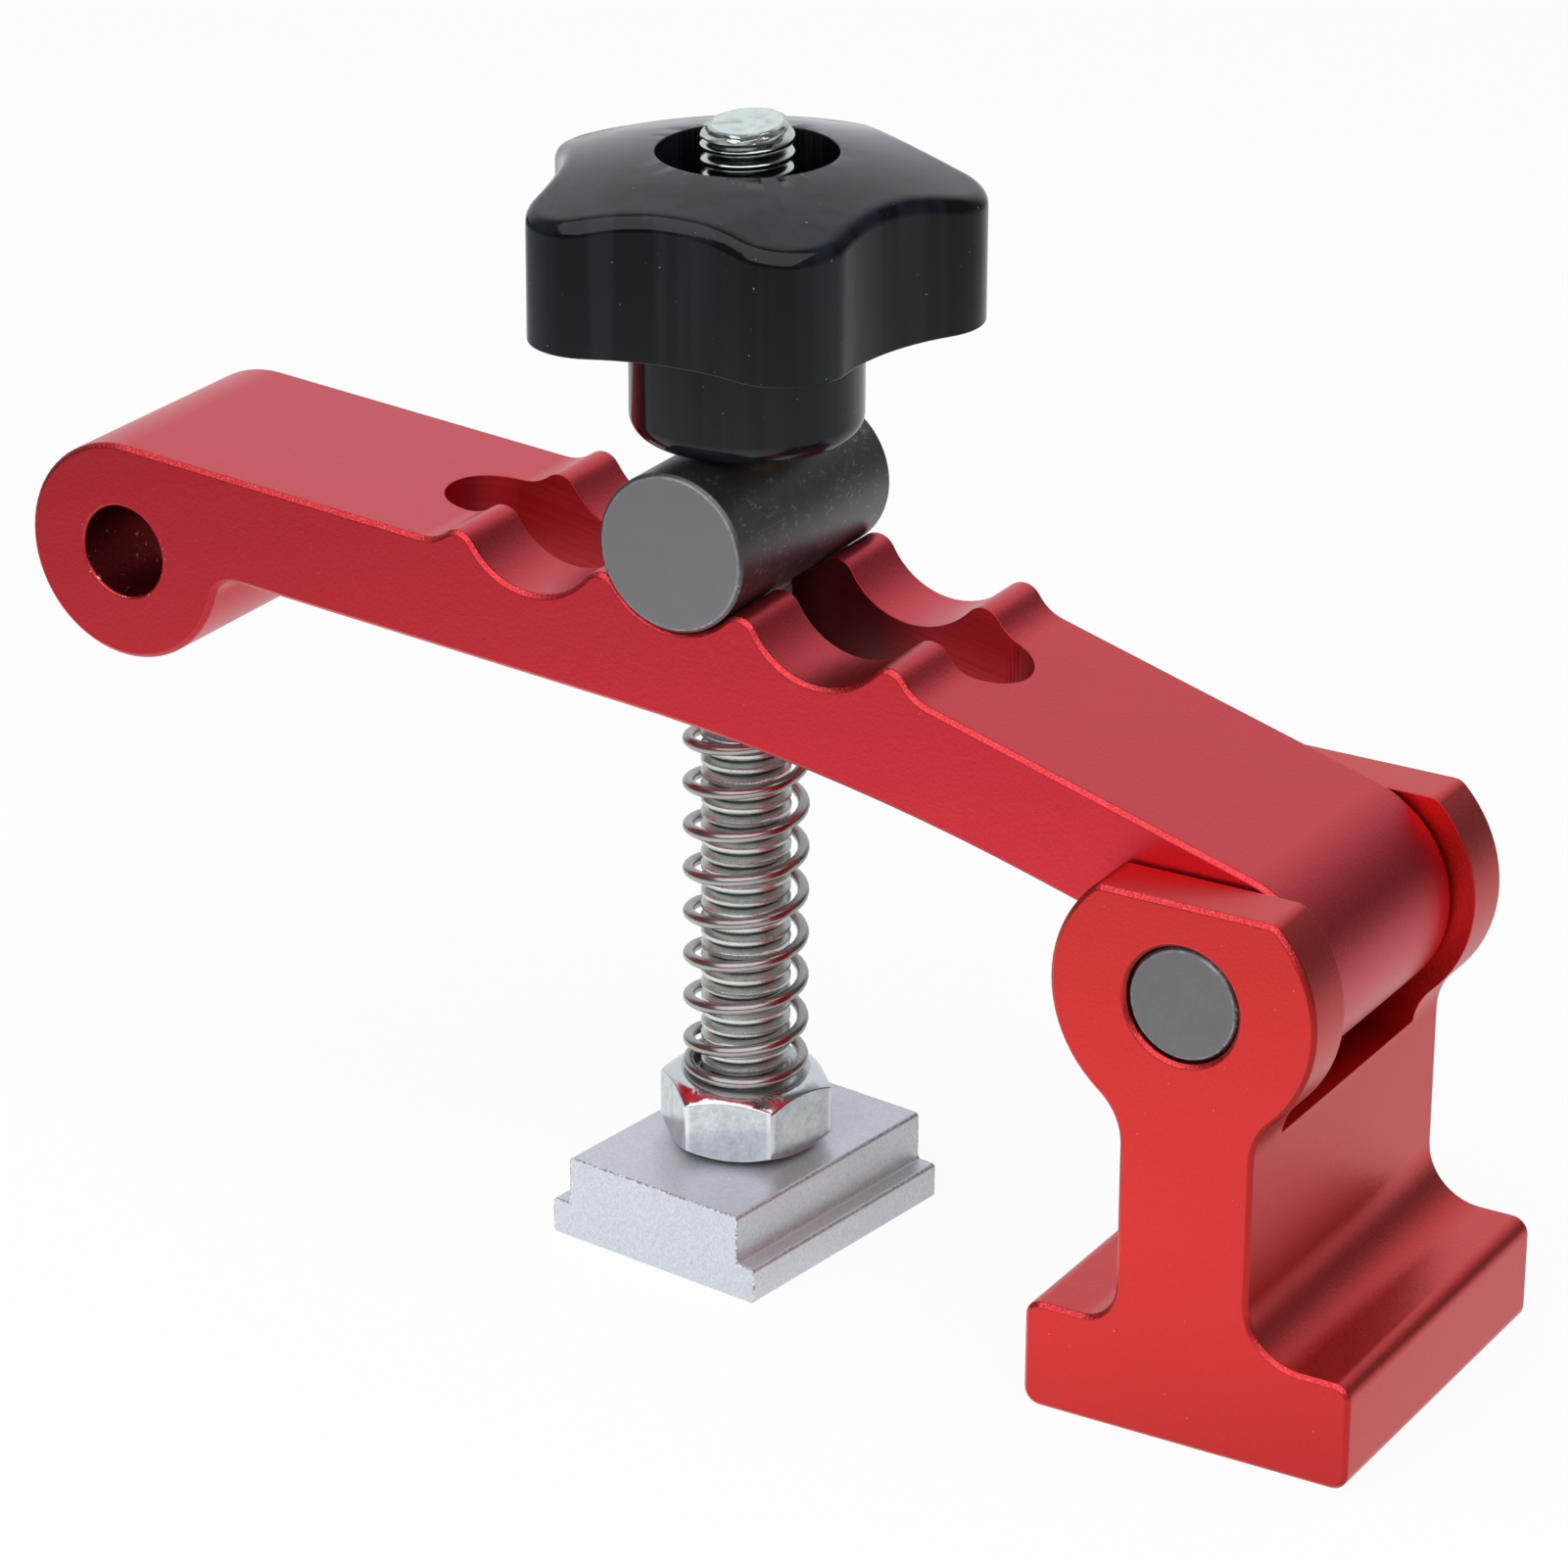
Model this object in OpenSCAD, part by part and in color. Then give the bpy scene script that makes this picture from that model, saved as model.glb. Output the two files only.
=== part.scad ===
// Hold-down clamp for a T-track: a slotted arm rests on a fork foot at the back and
// is drawn down by a star knob on a long stud that stands in a T-slider.
// X runs along the arm towards the foot, Y across it, Z up.
// The origin is the middle of the slider's underside, on the stud's axis.
// The feature that takes the most skill is the arm: one chamfered outline made of arcs,
// with a round nose, three saddle notches on a gently bent back and a round rear eye.

/* [Arm] */
// Width of the arm across its flat sides
arm_w = 24; // [18:0.5:32]
// Thickness of the two straight bars
bar_t = 9.75; // [8:0.25:12]
// Radius of the round nose that presses on the work
nose_r = 10; // [8:0.25:12]
// From the barrel's axis forward to the nose's centre
nose_reach = 57.3; // [52:0.5:80]
// Height of the barrel's axis over the nose's centre
nose_drop = 11.2; // [9:0.2:14]
// Diameter of the cross hole in the nose
nose_hole_d = 8.4; // [5:0.2:10]
// Break of the nose hole's two mouths
nose_mouth = 0.2; // [0.1:0.05:0.5]
// Radius of the round eye at the rear end
eye_r = 10.1; // [8.5:0.1:11]
// From the barrel's axis back to the eye's centre
eye_reach = 51.4; // [46:0.5:70]
// Height of the barrel's axis over the eye's centre
eye_drop = 27; // [24:0.5:32]
// Radius of the long arch on the underside
under_r = 200; // [150:5:260]
// Radius of the inner corners where the bars meet the nose and the eye
inner_r = 2.5; // [1.5:0.1:3.5]
// Width of the chamfer along both outlines
arm_chamfer = 0.4; // [0.2:0.05:0.8]

/* [Saddle notches] */
// Distance from one notch to the next
notch_pitch = 14.2; // [14:0.1:15.5]
// Slope of the arm's back at the middle notch, in degrees
notch_fall = 5.3; // [3:0.1:7]
// Turn of the back from one notch to the next, in degrees
notch_bend = 6; // [2:0.5:8]
// Radius of the rounded ridges between the notches
ridge_r = 1.8; // [1.4:0.1:2.2]
// Angle of the two outer ridges below the back's line, in degrees
ridge_angle = 31; // [28:0.5:36]
// Depth of an outer ridge's centre below the top face of its bar
ridge_sink = 0.3; // [0:0.05:0.8]
// Radius of the hollow between an outer ridge and its bar
shoulder_r = 4; // [2:0.25:5]
// Running clearance between the barrel and a notch
notch_gap = 0.1; // [0.05:0.01:0.3]

/* [Stud slot] */
// Width of the slot in the arm
slot_w = 8.8; // [8.4:0.1:9.4]
// From the stud's axis to the slot's front end
slot_front = 30; // [26:0.5:32]
// From the stud's axis to the slot's rear end
slot_rear = 27.4; // [24:0.5:30]

/* [Fork foot] */
// Depth of the foot along the clevis pin
foot_depth = 35.6; // [33:0.2:46]
// Clearance between the arm and each ear
ear_gap = 0.45; // [0.2:0.05:1]
// Height of the clevis pin's axis over the foot's sole
foot_pin_h = 39.9; // [36:0.2:50]
// Radius of the fork's ears
ear_r = 12; // [11:0.1:14]
// Height of the ears' flat top over the pin's axis
ear_flat_h = 8.95; // [8:0.05:10.5]
// Radius of the ears' two top corners
ear_corner_r = 1.4; // [0.6:0.1:2]
// Clearance between the arm's eye and the fork's floor
fork_floor_gap = 1.6; // [0.8:0.1:3]
// Thickness of the neck
neck_t = 12.1; // [9:0.1:14]
// Offset of the neck's middle behind the pin's axis
neck_offset = 0.8; // [0:0.1:2]
// Radius of the hollows under the ears
ear_hollow_r = 5.5; // [4:0.1:7]
// Height of the base plate
base_h = 9.75; // [7:0.25:13]
// From the pin's axis to the base plate's front edge
base_front = 13.6; // [12:0.2:18]
// From the pin's axis to the base plate's rear edge
base_rear = 16.4; // [15:0.2:24]
// Radius of the hollow between the neck and the front of the base
front_hollow_r = 3.2; // [2:0.1:4.5]
// Radius of the hollow between the neck and the rear of the base
rear_hollow_r = 5; // [3:0.1:6]
// Radius of the base plate's corners
base_corner_r = 1.5; // [0.8:0.1:2.5]
// Width of the chamfer along the foot's outlines
foot_chamfer = 0.4; // [0.2:0.05:0.8]

/* [Clevis pin] */
// Diameter of the clevis pin
pin_d = 10; // [8:0.1:11]
// Depth of the pin's ends below the ears' faces
pin_recess = 0.3; // [0:0.05:1]
// Radial clearance of the pin in the ears
pin_gap = 0.08; // [0.02:0.01:0.1]
// Chamfer of the pin's ends and of the holes it enters
pin_chamfer = 0.35; // [0.2:0.05:0.8]

/* [Barrel] */
// Diameter of the barrel
barrel_d = 14; // [13:0.1:14.2]
// Length of the barrel
barrel_l = 25; // [22:0.5:32]
// Chamfer of the barrel's ends
barrel_chamfer = 0.35; // [0.2:0.05:0.8]
// Radial clearance of the stud in the barrel's cross hole
barrel_bore_gap = 0.3; // [0.1:0.05:0.6]

/* [Stud and nut] */
// Outer diameter of the stud
stud_d = 7.9; // [7:0.05:8]
// Length of the stud
stud_l = 100; // [96:1:130]
// Height of the stud's lower end over the slider's underside
stud_lift = 1.5; // [0.5:0.25:3]
// Chamfer at the stud's ends
stud_chamfer = 0.7; // [0.3:0.1:1]
// Radial clearance in the threaded holes
thread_gap = 0.03; // [0.02:0.01:0.06]
// Width of the nut across its flats
nut_af = 13.5; // [12.5:0.1:15]
// Height of the nut
nut_h = 6.8; // [5:0.1:8]
// Turn of the nut about the stud, in degrees
nut_turn = 17.7; // [0:0.1:60]
// Slope of the nut's corner chamfers, in degrees
nut_chamfer_angle = 31; // [20:1:35]
// Radius of the ring where the nut's corner chamfers begin
nut_face_r = 5.7; // [5:0.1:6.4]

/* [Spring] */
// Outer diameter of the spring
spring_d = 11.1; // [10.4:0.1:12]
// Diameter of the spring wire
wire_d = 1.05; // [0.8:0.05:1.2]
// Number of open turns
open_turns = 7.75; // [5:0.25:9]
// Number of closed turns at each end
closed_turns = 2; // [1:0.25:3]
// Direction in which the wire starts on the nut, in degrees
spring_start = 100; // [0:5:355]
// Clearance at the spring's two ends
spring_end_gap = 0.05; // [0.02:0.01:0.3]

/* [T-slider] */
// Length of the slider
slider_l = 26.3; // [22:0.1:40]
// Width of the slider's upper part, which fits the track's slot
slider_top_w = 18.8; // [17:0.1:20]
// Width of the slider's lower part, which runs under the track's lips
slider_foot_w = 22.6; // [21.5:0.1:26]
// Height of the slider
slider_h = 7.8; // [6:0.1:12]
// Height of the slider's lower part
slider_foot_h = 3.3; // [2.5:0.1:4.5]
// Turn of the slider about the stud, in degrees
slider_turn = -7.2; // [-45:0.1:45]
// Chamfer of the slider's long edges
slider_chamfer = 0.25; // [0.1:0.05:0.5]

/* [Knob] */
// Radius from the knob's axis to a lobe's centre
lobe_reach = 14.5; // [13.5:0.1:17]
// Radius of a lobe
lobe_r = 5.6; // [4.6:0.1:6.2]
// Radius from the knob's axis to the floor of a hollow between lobes
hollow_reach = 15.9; // [15.2:0.1:17]
// Direction of the first lobe, in degrees
lobe_turn = 24.5; // [0:0.5:72]
// Height of the hub below the head
hub_h = 10.6; // [7:0.1:16]
// Radius of the hub
hub_r = 10; // [9:0.1:11]
// Radius of the hub's rounded lower edge
hub_round = 2; // [1:0.1:3]
// Height of the head at the rim of a lobe
rim_h = 11; // [8:0.1:14]
// Height of the head at its middle
crown_h = 14.6; // [13:0.1:16]
// Radius of the head's rounded upper edge
head_round = 1.5; // [0.8:0.1:2.2]
// Radius of the recess round the stud
recess_r = 7.7; // [7.2:0.1:8.4]
// Depth of the recess below the crown
recess_depth = 9; // [6:0.5:11]
// Outer radius of the threaded insert
insert_r = 6; // [5.2:0.1:6.8]
// Depth of the insert's ends inside the hub
insert_recess = 0.4; // [0.1:0.1:1]
// Clearance between the hub and the barrel it presses on
hub_gap = 0.1; // [0.05:0.05:0.4]

/* [Hidden] */

// largest distance between a round outline and its straight steps
curve_error = 0.01;
// how far a cutting body runs past the face that it cuts
past = 1;
// clearance of parts that are pressed together
press_gap = 0.01;

barrel_r = barrel_d / 2;
pin_r = pin_d / 2;
stud_r = stud_d / 2;
wire_r = wire_d / 2;
notch_r = barrel_r + notch_gap;

// places of the main axes, as [x, z]
eye = [eye_reach, foot_pin_h];
seat = [0, foot_pin_h + eye_drop];
nose = [-nose_reach, seat[1] - nose_drop];

function turned(angle) = [cos(angle), sin(angle)];
function left_of(angle) = [-sin(angle), cos(angle)];

// A belt is a list of circles [centre, radius, side]. The outline runs clockwise and
// touches each circle: side 1 wraps round it, side -1 hollows out along it.
function line_angle(a, b) =
    let(v = b[0] - a[0], k = (a[1] * a[2] - b[1] * b[2]) / norm(v))
    atan2(v[1], v[0]) - asin(max(-1, min(1, k)));
function touching(a, b) = norm(b[0] - a[0]) < abs(a[1] * a[2] - b[1] * b[2]) + 0.0001;
function whole_turn(angle) = let(a = angle - 360 * floor(angle / 360)) a > 359.99 ? 0 : a;
function arc_steps(radius, sweep) =
    max(1, ceil(abs(sweep) / (2 * acos(1 - curve_error / max(radius, 10 * curve_error)))));
function belt_outline(belt, inset = 0) = [
    for (i = [0 : len(belt) - 1])
        let(
            before = belt[(i + len(belt) - 1) % len(belt)],
            here = belt[i],
            after = belt[(i + 1) % len(belt)],
            start = line_angle(before, here),
            sweep = whole_turn(here[2] * (start - line_angle(here, after))),
            steps = arc_steps(here[1], sweep),
            radius = here[1] * here[2] - inset)
        for (k = [(touching(before, here) ? 1 : 0) : steps])
            here[0] + radius * left_of(start - here[2] * sweep * k / steps)
];

// the two bars' top faces run from the nose and the eye to the outer ridges
ridge_step = notch_r + ridge_r;
front_notch = seat - notch_pitch * turned(-(notch_fall - notch_bend / 2));
rear_notch = seat + notch_pitch * turned(-(notch_fall + notch_bend / 2));
front_ridge = front_notch - ridge_step * turned(notch_bend - notch_fall + ridge_angle);
rear_ridge = rear_notch + ridge_step * turned(-(notch_bend + notch_fall + ridge_angle));

function ridge_between(a, b) =
    let(v = b - a, along = atan2(v[1], v[0]))
    (a + b) / 2 - sqrt(pow(ridge_step, 2) - pow(norm(v) / 2, 2)) * left_of(along);

front_bar = line_angle([nose, nose_r, 1], [front_ridge, ridge_sink, 1]);
rear_bar = line_angle([rear_ridge, ridge_sink, 1], [eye, eye_r, 1]);
shoulder_run = sqrt(pow(ridge_r + shoulder_r, 2) - pow(ridge_sink + shoulder_r, 2));
function shoulder(ridge, bar, way) =
    ridge + (ridge_sink + shoulder_r) * left_of(bar) + way * shoulder_run * turned(bar);

// a point under a bar's underside at a depth, and where two such lines cross
function below(centre, radius, bar, depth) = centre + (radius - bar_t - depth) * left_of(bar);
function cross2(a, b) = a[0] * b[1] - a[1] * b[0];
function crossing(p, a, q, b) = p + turned(a) * cross2(q - p, turned(b)) / cross2(turned(a), turned(b));
under_centre = crossing(below(nose, nose_r, front_bar, under_r), front_bar,
                        below(eye, eye_r, rear_bar, under_r), rear_bar);

// a hollow that touches a round end and the underside of its bar
function inner_corner(centre, radius, bar, way) =
    let(drop = radius - bar_t - inner_r)
    centre + drop * left_of(bar) + way * sqrt(pow(radius + inner_r, 2) - drop * drop) * turned(bar);

arm_belt = [
    [nose, nose_r, 1],
    [shoulder(front_ridge, front_bar, -1), shoulder_r, -1],
    [front_ridge, ridge_r, 1],
    [front_notch, notch_r, -1],
    [ridge_between(front_notch, seat), ridge_r, 1],
    [seat, notch_r, -1],
    [ridge_between(seat, rear_notch), ridge_r, 1],
    [rear_notch, notch_r, -1],
    [rear_ridge, ridge_r, 1],
    [shoulder(rear_ridge, rear_bar, 1), shoulder_r, -1],
    [eye, eye_r, 1],
    [inner_corner(eye, eye_r, rear_bar, -1), inner_r, -1],
    [under_centre, under_r, -1],
    [inner_corner(nose, nose_r, front_bar, 1), inner_r, -1]
];
// height of the arm's underside at a place along X
function underside(x) = under_centre[1] + sqrt(pow(under_r, 2) - pow(x - under_centre[0], 2));

// the foot's outline
neck_front = eye[0] + neck_offset - neck_t / 2;
neck_rear = neck_front + neck_t;
fork_floor = eye[1] - eye_r - fork_floor_gap;
fork_w = arm_w + 2 * ear_gap;
ear_flat = eye[1] + ear_flat_h;
base_left = eye[0] - base_front;
base_right = eye[0] + base_rear;
corner_run = sqrt(pow(ear_r - ear_corner_r, 2) - pow(ear_flat_h - ear_corner_r, 2));
function ear_corner(way) = [eye[0] + way * corner_run, ear_flat - ear_corner_r];
function ear_hollow(x) = [x, eye[1] - sqrt(pow(ear_r + ear_hollow_r, 2) - pow(x - eye[0], 2))];
foot_belt = [
    [ear_corner(-1), ear_corner_r, 1],
    [ear_corner(1), ear_corner_r, 1],
    [eye, ear_r, 1],
    [ear_hollow(neck_rear + ear_hollow_r), ear_hollow_r, -1],
    [[neck_rear + rear_hollow_r, base_h + rear_hollow_r], rear_hollow_r, -1],
    [[base_right - base_corner_r, base_h - base_corner_r], base_corner_r, 1],
    [[base_right - base_corner_r, base_corner_r], base_corner_r, 1],
    [[base_left + base_corner_r, base_corner_r], base_corner_r, 1],
    [[base_left + base_corner_r, base_h - base_corner_r], base_corner_r, 1],
    [[neck_front - front_hollow_r, base_h + front_hollow_r], front_hollow_r, -1],
    [ear_hollow(neck_front - ear_hollow_r), ear_hollow_r, -1],
    [eye, ear_r, 1]
];

// heights along the stud
nut_bottom = slider_h;
nut_top = nut_bottom + nut_h;
stud_top = stud_lift + stud_l;
hub_bottom = seat[1] + barrel_r + hub_gap;
head_bottom = hub_bottom + hub_h;
crown = head_bottom + crown_h;
lobe_tip = lobe_reach + lobe_r;
// the crown falls with the square of the radius, down to the rim at a lobe's tip
crown_fall = (crown_h - rim_h) / pow(lobe_tip, 2);
insert_top = crown - recess_depth;
insert_bottom = hub_bottom + insert_recess;

// the knob's outline: five lobes with a hollow between each two
lobes = 5;
half_lobe = 180 / lobes;
// a hollow's circle touches both lobes and reaches in to hollow_reach
hollow_away = (pow(lobe_reach, 2) - pow(hollow_reach - lobe_r, 2))
    / (2 * (lobe_reach * cos(half_lobe) - hollow_reach + lobe_r));
hollow_r = hollow_away - hollow_reach;
knob_belt = [
    for (i = [0 : lobes - 1])
        let(angle = lobe_turn - i * 360 / lobes)
        each [[lobe_reach * turned(angle), lobe_r, 1],
              [hollow_away * turned(angle - half_lobe), hollow_r, -1]]
];

// Triangles that fill a clockwise outline. A corner is cut off as an ear when it bulges
// and no other corner lies in it; ring lists the corners that are still there.
function inside(a, b, c, p) =
    max(cross(b - a, p - a), cross(c - b, p - b), cross(a - c, p - c)) < 0.000001;
function ears(pts, ring, at = 0, tries = 0, found = []) =
    let(n = len(ring), i = at % n,
        a = ring[(i + n - 1) % n], b = ring[i], c = ring[(i + 1) % n],
        bulges = cross(pts[b] - pts[a], pts[c] - pts[b]) < 0,
        blocked = !bulges || len([for (k = ring)
            if (k != a && k != b && k != c && inside(pts[a], pts[b], pts[c], pts[k])) k]) > 0)
    n == 3 || tries > n ? concat(found, [ring])
    : blocked ? ears(pts, ring, i + 1, tries + 1, found)
    : ears(pts, [for (k = ring) if (k != b) k], i + 1, 0, concat(found, [[a, b, c]]));

// Plate with chamfered outlines: the belt's outline in X and Z, with its thickness along Y
module chamfered_plate(belt, thickness, chamfer) {
    levels = [[-thickness / 2, chamfer], [chamfer - thickness / 2, 0],
              [thickness / 2 - chamfer, 0], [thickness / 2, chamfer]];
    outer = belt_outline(belt);
    inner = belt_outline(belt, chamfer);
    count = len(outer);
    points = [for (level = levels) for (p = level[1] > 0 ? inner : outer) [p[0], level[0], p[1]]];
    sides = [for (j = [0 : len(levels) - 2]) for (i = [0 : count - 1])
        let(a = j * count + i, b = j * count + (i + 1) % count)
        each [[a, b + count, b], [a, a + count, b + count]]];
    front = ears(inner, [for (i = [0 : count - 1]) i]);
    back = [for (t = front) [for (k = [2, 1, 0]) t[k] + (len(levels) - 1) * count]];
    polyhedron(points, concat(sides, front, back), convexity = 8);
}

// Round bar about Z between two heights, with both ends chamfered
module chamfered_bar(radius, low, high, chamfer) {
    rotate_extrude($fn = 96)
        polygon([[0, low], [radius - chamfer, low], [radius, low + chamfer],
                 [radius, high - chamfer], [radius - chamfer, high], [0, high]]);
}

// The same bar lying along Y through a place in X and Z
module cross_bar(place, radius, length, chamfer) {
    translate([place[0], 0, place[1]])
        rotate([90, 0, 0]) chamfered_bar(radius, -length / 2, length / 2, chamfer);
}

// Cutter for a hole along Y whose two mouths are countersunk at a distance apart
module cross_hole(place, radius, length, sink) {
    translate([place[0], 0, place[1]]) rotate([90, 0, 0]) {
        cylinder(r = radius, h = length + 2 * past, center = true, $fn = 96);
        for (side = [0, 1]) mirror([0, 0, side]) translate([0, 0, length / 2 - sink])
            cylinder(r1 = radius, r2 = radius + sink + past, h = sink + past, $fn = 96);
    }
}

module stud_slot() {
    low = eye[1];
    high = hub_bottom;
    ends = [slot_w / 2 - slot_front, slot_rear - slot_w / 2];
    for (x = ends) translate([x, 0, low]) cylinder(d = slot_w, h = high - low, $fn = 96);
    translate([ends[0], -slot_w / 2, low]) cube([ends[1] - ends[0], slot_w, high - low]);
}

module arm() {
    color([0.78, 0.09, 0.11]) difference() {
        chamfered_plate(arm_belt, arm_w, arm_chamfer);
        stud_slot();
        cross_hole(nose, nose_hole_d / 2, arm_w, nose_mouth);
        cross_hole(eye, pin_r + press_gap, arm_w, pin_chamfer);
    }
}

module fork_foot() {
    color([0.82, 0.1, 0.12]) difference() {
        chamfered_plate(foot_belt, foot_depth, foot_chamfer);
        translate([eye[0] - ear_r - past, -fork_w / 2, fork_floor])
            cube([2 * (ear_r + past), fork_w, ear_r + eye[1] - fork_floor]);
        cross_hole(eye, pin_r + pin_gap, foot_depth, pin_chamfer);
    }
}

module clevis_pin() {
    color([0.32, 0.32, 0.32]) cross_bar(eye, pin_r, foot_depth - 2 * pin_recess, pin_chamfer);
}

module barrel() {
    color([0.3, 0.3, 0.3]) difference() {
        cross_bar(seat, barrel_r, barrel_l, barrel_chamfer);
        translate([0, 0, seat[1]])
            cylinder(r = stud_r + barrel_bore_gap, h = barrel_d + 2 * past, center = true, $fn = 96);
    }
}

// Height of the knob's crown at a radius from its axis
function crown_at(radius) = crown - crown_fall * pow(radius, 2);

module knob_head() {
    round_steps = 5;
    crown_steps = 3;
    outline = belt_outline(knob_belt);
    count = len(outline);
    // side wall, then the rounded edge, each ring an inset and a depth below the crown
    rims = [for (k = [0 : round_steps])
        let(a = 90 * k / round_steps)
        [head_round * (1 - cos(a)), head_round * (1 - sin(a))]];
    edge = belt_outline(knob_belt, head_round);
    rings = [
        [for (p = outline) [p[0], p[1], head_bottom]],
        for (rim = rims)
            let(ring = belt_outline(knob_belt, rim[0]))
            [for (i = [0 : count - 1]) [ring[i][0], ring[i][1], crown_at(norm(edge[i])) - rim[1]]],
        for (k = [1 : crown_steps])
            [for (p = edge)
                let(reach = norm(p), mid = recess_r - past, radius = reach + (mid - reach) * k / crown_steps)
                [p[0] * radius / reach, p[1] * radius / reach, crown_at(radius)]]
    ];
    last = len(rings) - 1;
    points = [for (ring = rings) each ring, [0, 0, head_bottom]];
    sides = [for (j = [0 : last - 1]) for (i = [0 : count - 1])
        let(a = j * count + i, b = j * count + (i + 1) % count)
        each [[a, b, b + count], [a, b + count, a + count]]];
    bottom = [for (i = [0 : count - 1]) [len(points) - 1, (i + 1) % count, i]];
    top = [for (i = [0 : count - 1]) last * count + i];
    polyhedron(points, concat(sides, bottom, [top]), convexity = 4);
}

module knob_hub() {
    round_steps = 6;
    rotate_extrude($fn = 96)
        polygon([[0, hub_bottom],
                 for (k = [0 : round_steps])
                     let(a = 90 * k / round_steps)
                     [hub_r - hub_round + hub_round * sin(a), hub_bottom + hub_round * (1 - cos(a))],
                 [hub_r, head_bottom + past], [0, head_bottom + past]]);
}

module knob() {
    color([0.07, 0.07, 0.08]) difference() {
        union() {
            knob_head();
            knob_hub();
        }
        translate([0, 0, insert_top])
            cylinder(r = recess_r, h = recess_depth + past, $fn = 96);
        translate([0, 0, hub_bottom - past])
            cylinder(r = insert_r + press_gap, h = insert_top - hub_bottom + 2 * past, $fn = 96);
    }
}

module knob_insert() {
    groove = 0.5;
    pitch = (insert_top - insert_bottom) / 3;
    color([0.72, 0.62, 0.36]) difference() {
        chamfered_bar(insert_r, insert_bottom, insert_top, groove);
        for (z = [insert_bottom + pitch, insert_top - pitch]) translate([0, 0, z])
            rotate_extrude($fn = 96)
                translate([insert_r, 0]) polygon([[-groove, 0], [past, groove + past], [past, -groove - past]]);
        translate([0, 0, insert_bottom - past])
            cylinder(r = stud_r + thread_gap, h = insert_top - insert_bottom + 2 * past, $fn = 96);
    }
}

module stud() {
    color([0.75, 0.76, 0.78]) chamfered_bar(stud_r, stud_lift, stud_top, stud_chamfer);
}

// Hexagon whose corners are turned off by a cone at both faces
module lock_nut() {
    corner = nut_af / 2 / cos(30);
    fall = (corner - nut_face_r + past) * tan(nut_chamfer_angle);
    color([0.74, 0.75, 0.77]) difference() {
        intersection() {
            translate([0, 0, nut_bottom]) rotate([0, 0, nut_turn])
                cylinder(r = corner, h = nut_h, $fn = 6);
            rotate_extrude($fn = 96)
                polygon([[0, nut_bottom], [nut_face_r, nut_bottom], [corner + past, nut_bottom + fall],
                         [corner + past, nut_top - fall], [nut_face_r, nut_top], [0, nut_top]]);
        }
        translate([0, 0, nut_bottom - past])
            cylinder(r = stud_r + thread_gap, h = nut_h + 2 * past, $fn = 96);
    }
}

// Right-hand coil with closed turns at both ends, standing on the nut under the arm
module spring() {
    coil_r = spring_d / 2 - wire_r;
    low = nut_top + spring_end_gap + wire_r;
    high = min(underside(spring_d / 2), underside(-spring_d / 2)) - spring_end_gap - wire_r;
    closed_pitch = wire_d * 1.06;
    open_pitch = (high - low - 2 * closed_turns * closed_pitch) / open_turns;
    steps_per_turn = 16;
    wire_sides = 8;
    turns = open_turns + 2 * closed_turns;
    count = ceil(turns * steps_per_turn);
    function height(t) = low
        + closed_pitch * (min(t, closed_turns) + max(0, t - turns + closed_turns))
        + open_pitch * max(0, min(t, turns - closed_turns) - closed_turns);
    points = [for (i = [0 : count])
        let(t = turns * i / count, angle = spring_start + 360 * t, out = turned(angle))
        for (k = [0 : wire_sides - 1])
            let(a = 360 * (k + 0.5) / wire_sides)
            [out[0] * (coil_r + wire_r * cos(a)), out[1] * (coil_r + wire_r * cos(a)),
             height(t) + wire_r * sin(a)]];
    sides = [for (i = [0 : count - 1]) for (k = [0 : wire_sides - 1])
        let(a = i * wire_sides + k, b = i * wire_sides + (k + 1) % wire_sides)
        each [[a, b, b + wire_sides], [a, b + wire_sides, a + wire_sides]]];
    start_cap = [for (k = [0 : wire_sides - 1]) wire_sides - 1 - k];
    end_cap = [for (k = [0 : wire_sides - 1]) count * wire_sides + k];
    color([0.5, 0.48, 0.45]) polyhedron(points, concat(sides, [start_cap, end_cap]), convexity = 10);
}

// T-section along the track, cut to length, with the stud's threaded hole
module t_slider() {
    c = slider_chamfer;
    half_top = slider_top_w / 2;
    half_foot = slider_foot_w / 2;
    half = [[half_foot - c, 0], [half_foot, c], [half_foot, slider_foot_h - c],
            [half_foot - c, slider_foot_h], [half_top + c, slider_foot_h],
            [half_top, slider_foot_h + c], [half_top, slider_h - c], [half_top - c, slider_h]];
    other = [for (i = [len(half) - 1 : -1 : 0]) [-half[i][0], half[i][1]]];
    color([0.78, 0.79, 0.81]) rotate([0, 0, slider_turn]) difference() {
        rotate([90, 0, 0]) linear_extrude(slider_l, center = true) polygon(concat(half, other));
        translate([0, 0, -past])
            cylinder(r = stud_r + thread_gap, h = slider_h + 2 * past, $fn = 96);
    }
}

arm();
fork_foot();
clevis_pin();
barrel();
knob();
knob_insert();
stud();
lock_nut();
spring();
t_slider();
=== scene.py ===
# %% [markdown]
# # A hold-down clamp, dressed for its portrait
#
# The clamp holds wood on a bench. A slotted red arm hangs on a long stud, a star knob
# draws it down through a steel barrel, and its rear end stands on a fork foot. The solids
# come from the CAD model, so every part is already in its place. This lesson adds what a
# camera sees: the thread, the coil, soft edges, and the finish of each metal.

# %% Load the fixed frame
import math

import bpy
from mathutils import Matrix, Vector


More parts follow.
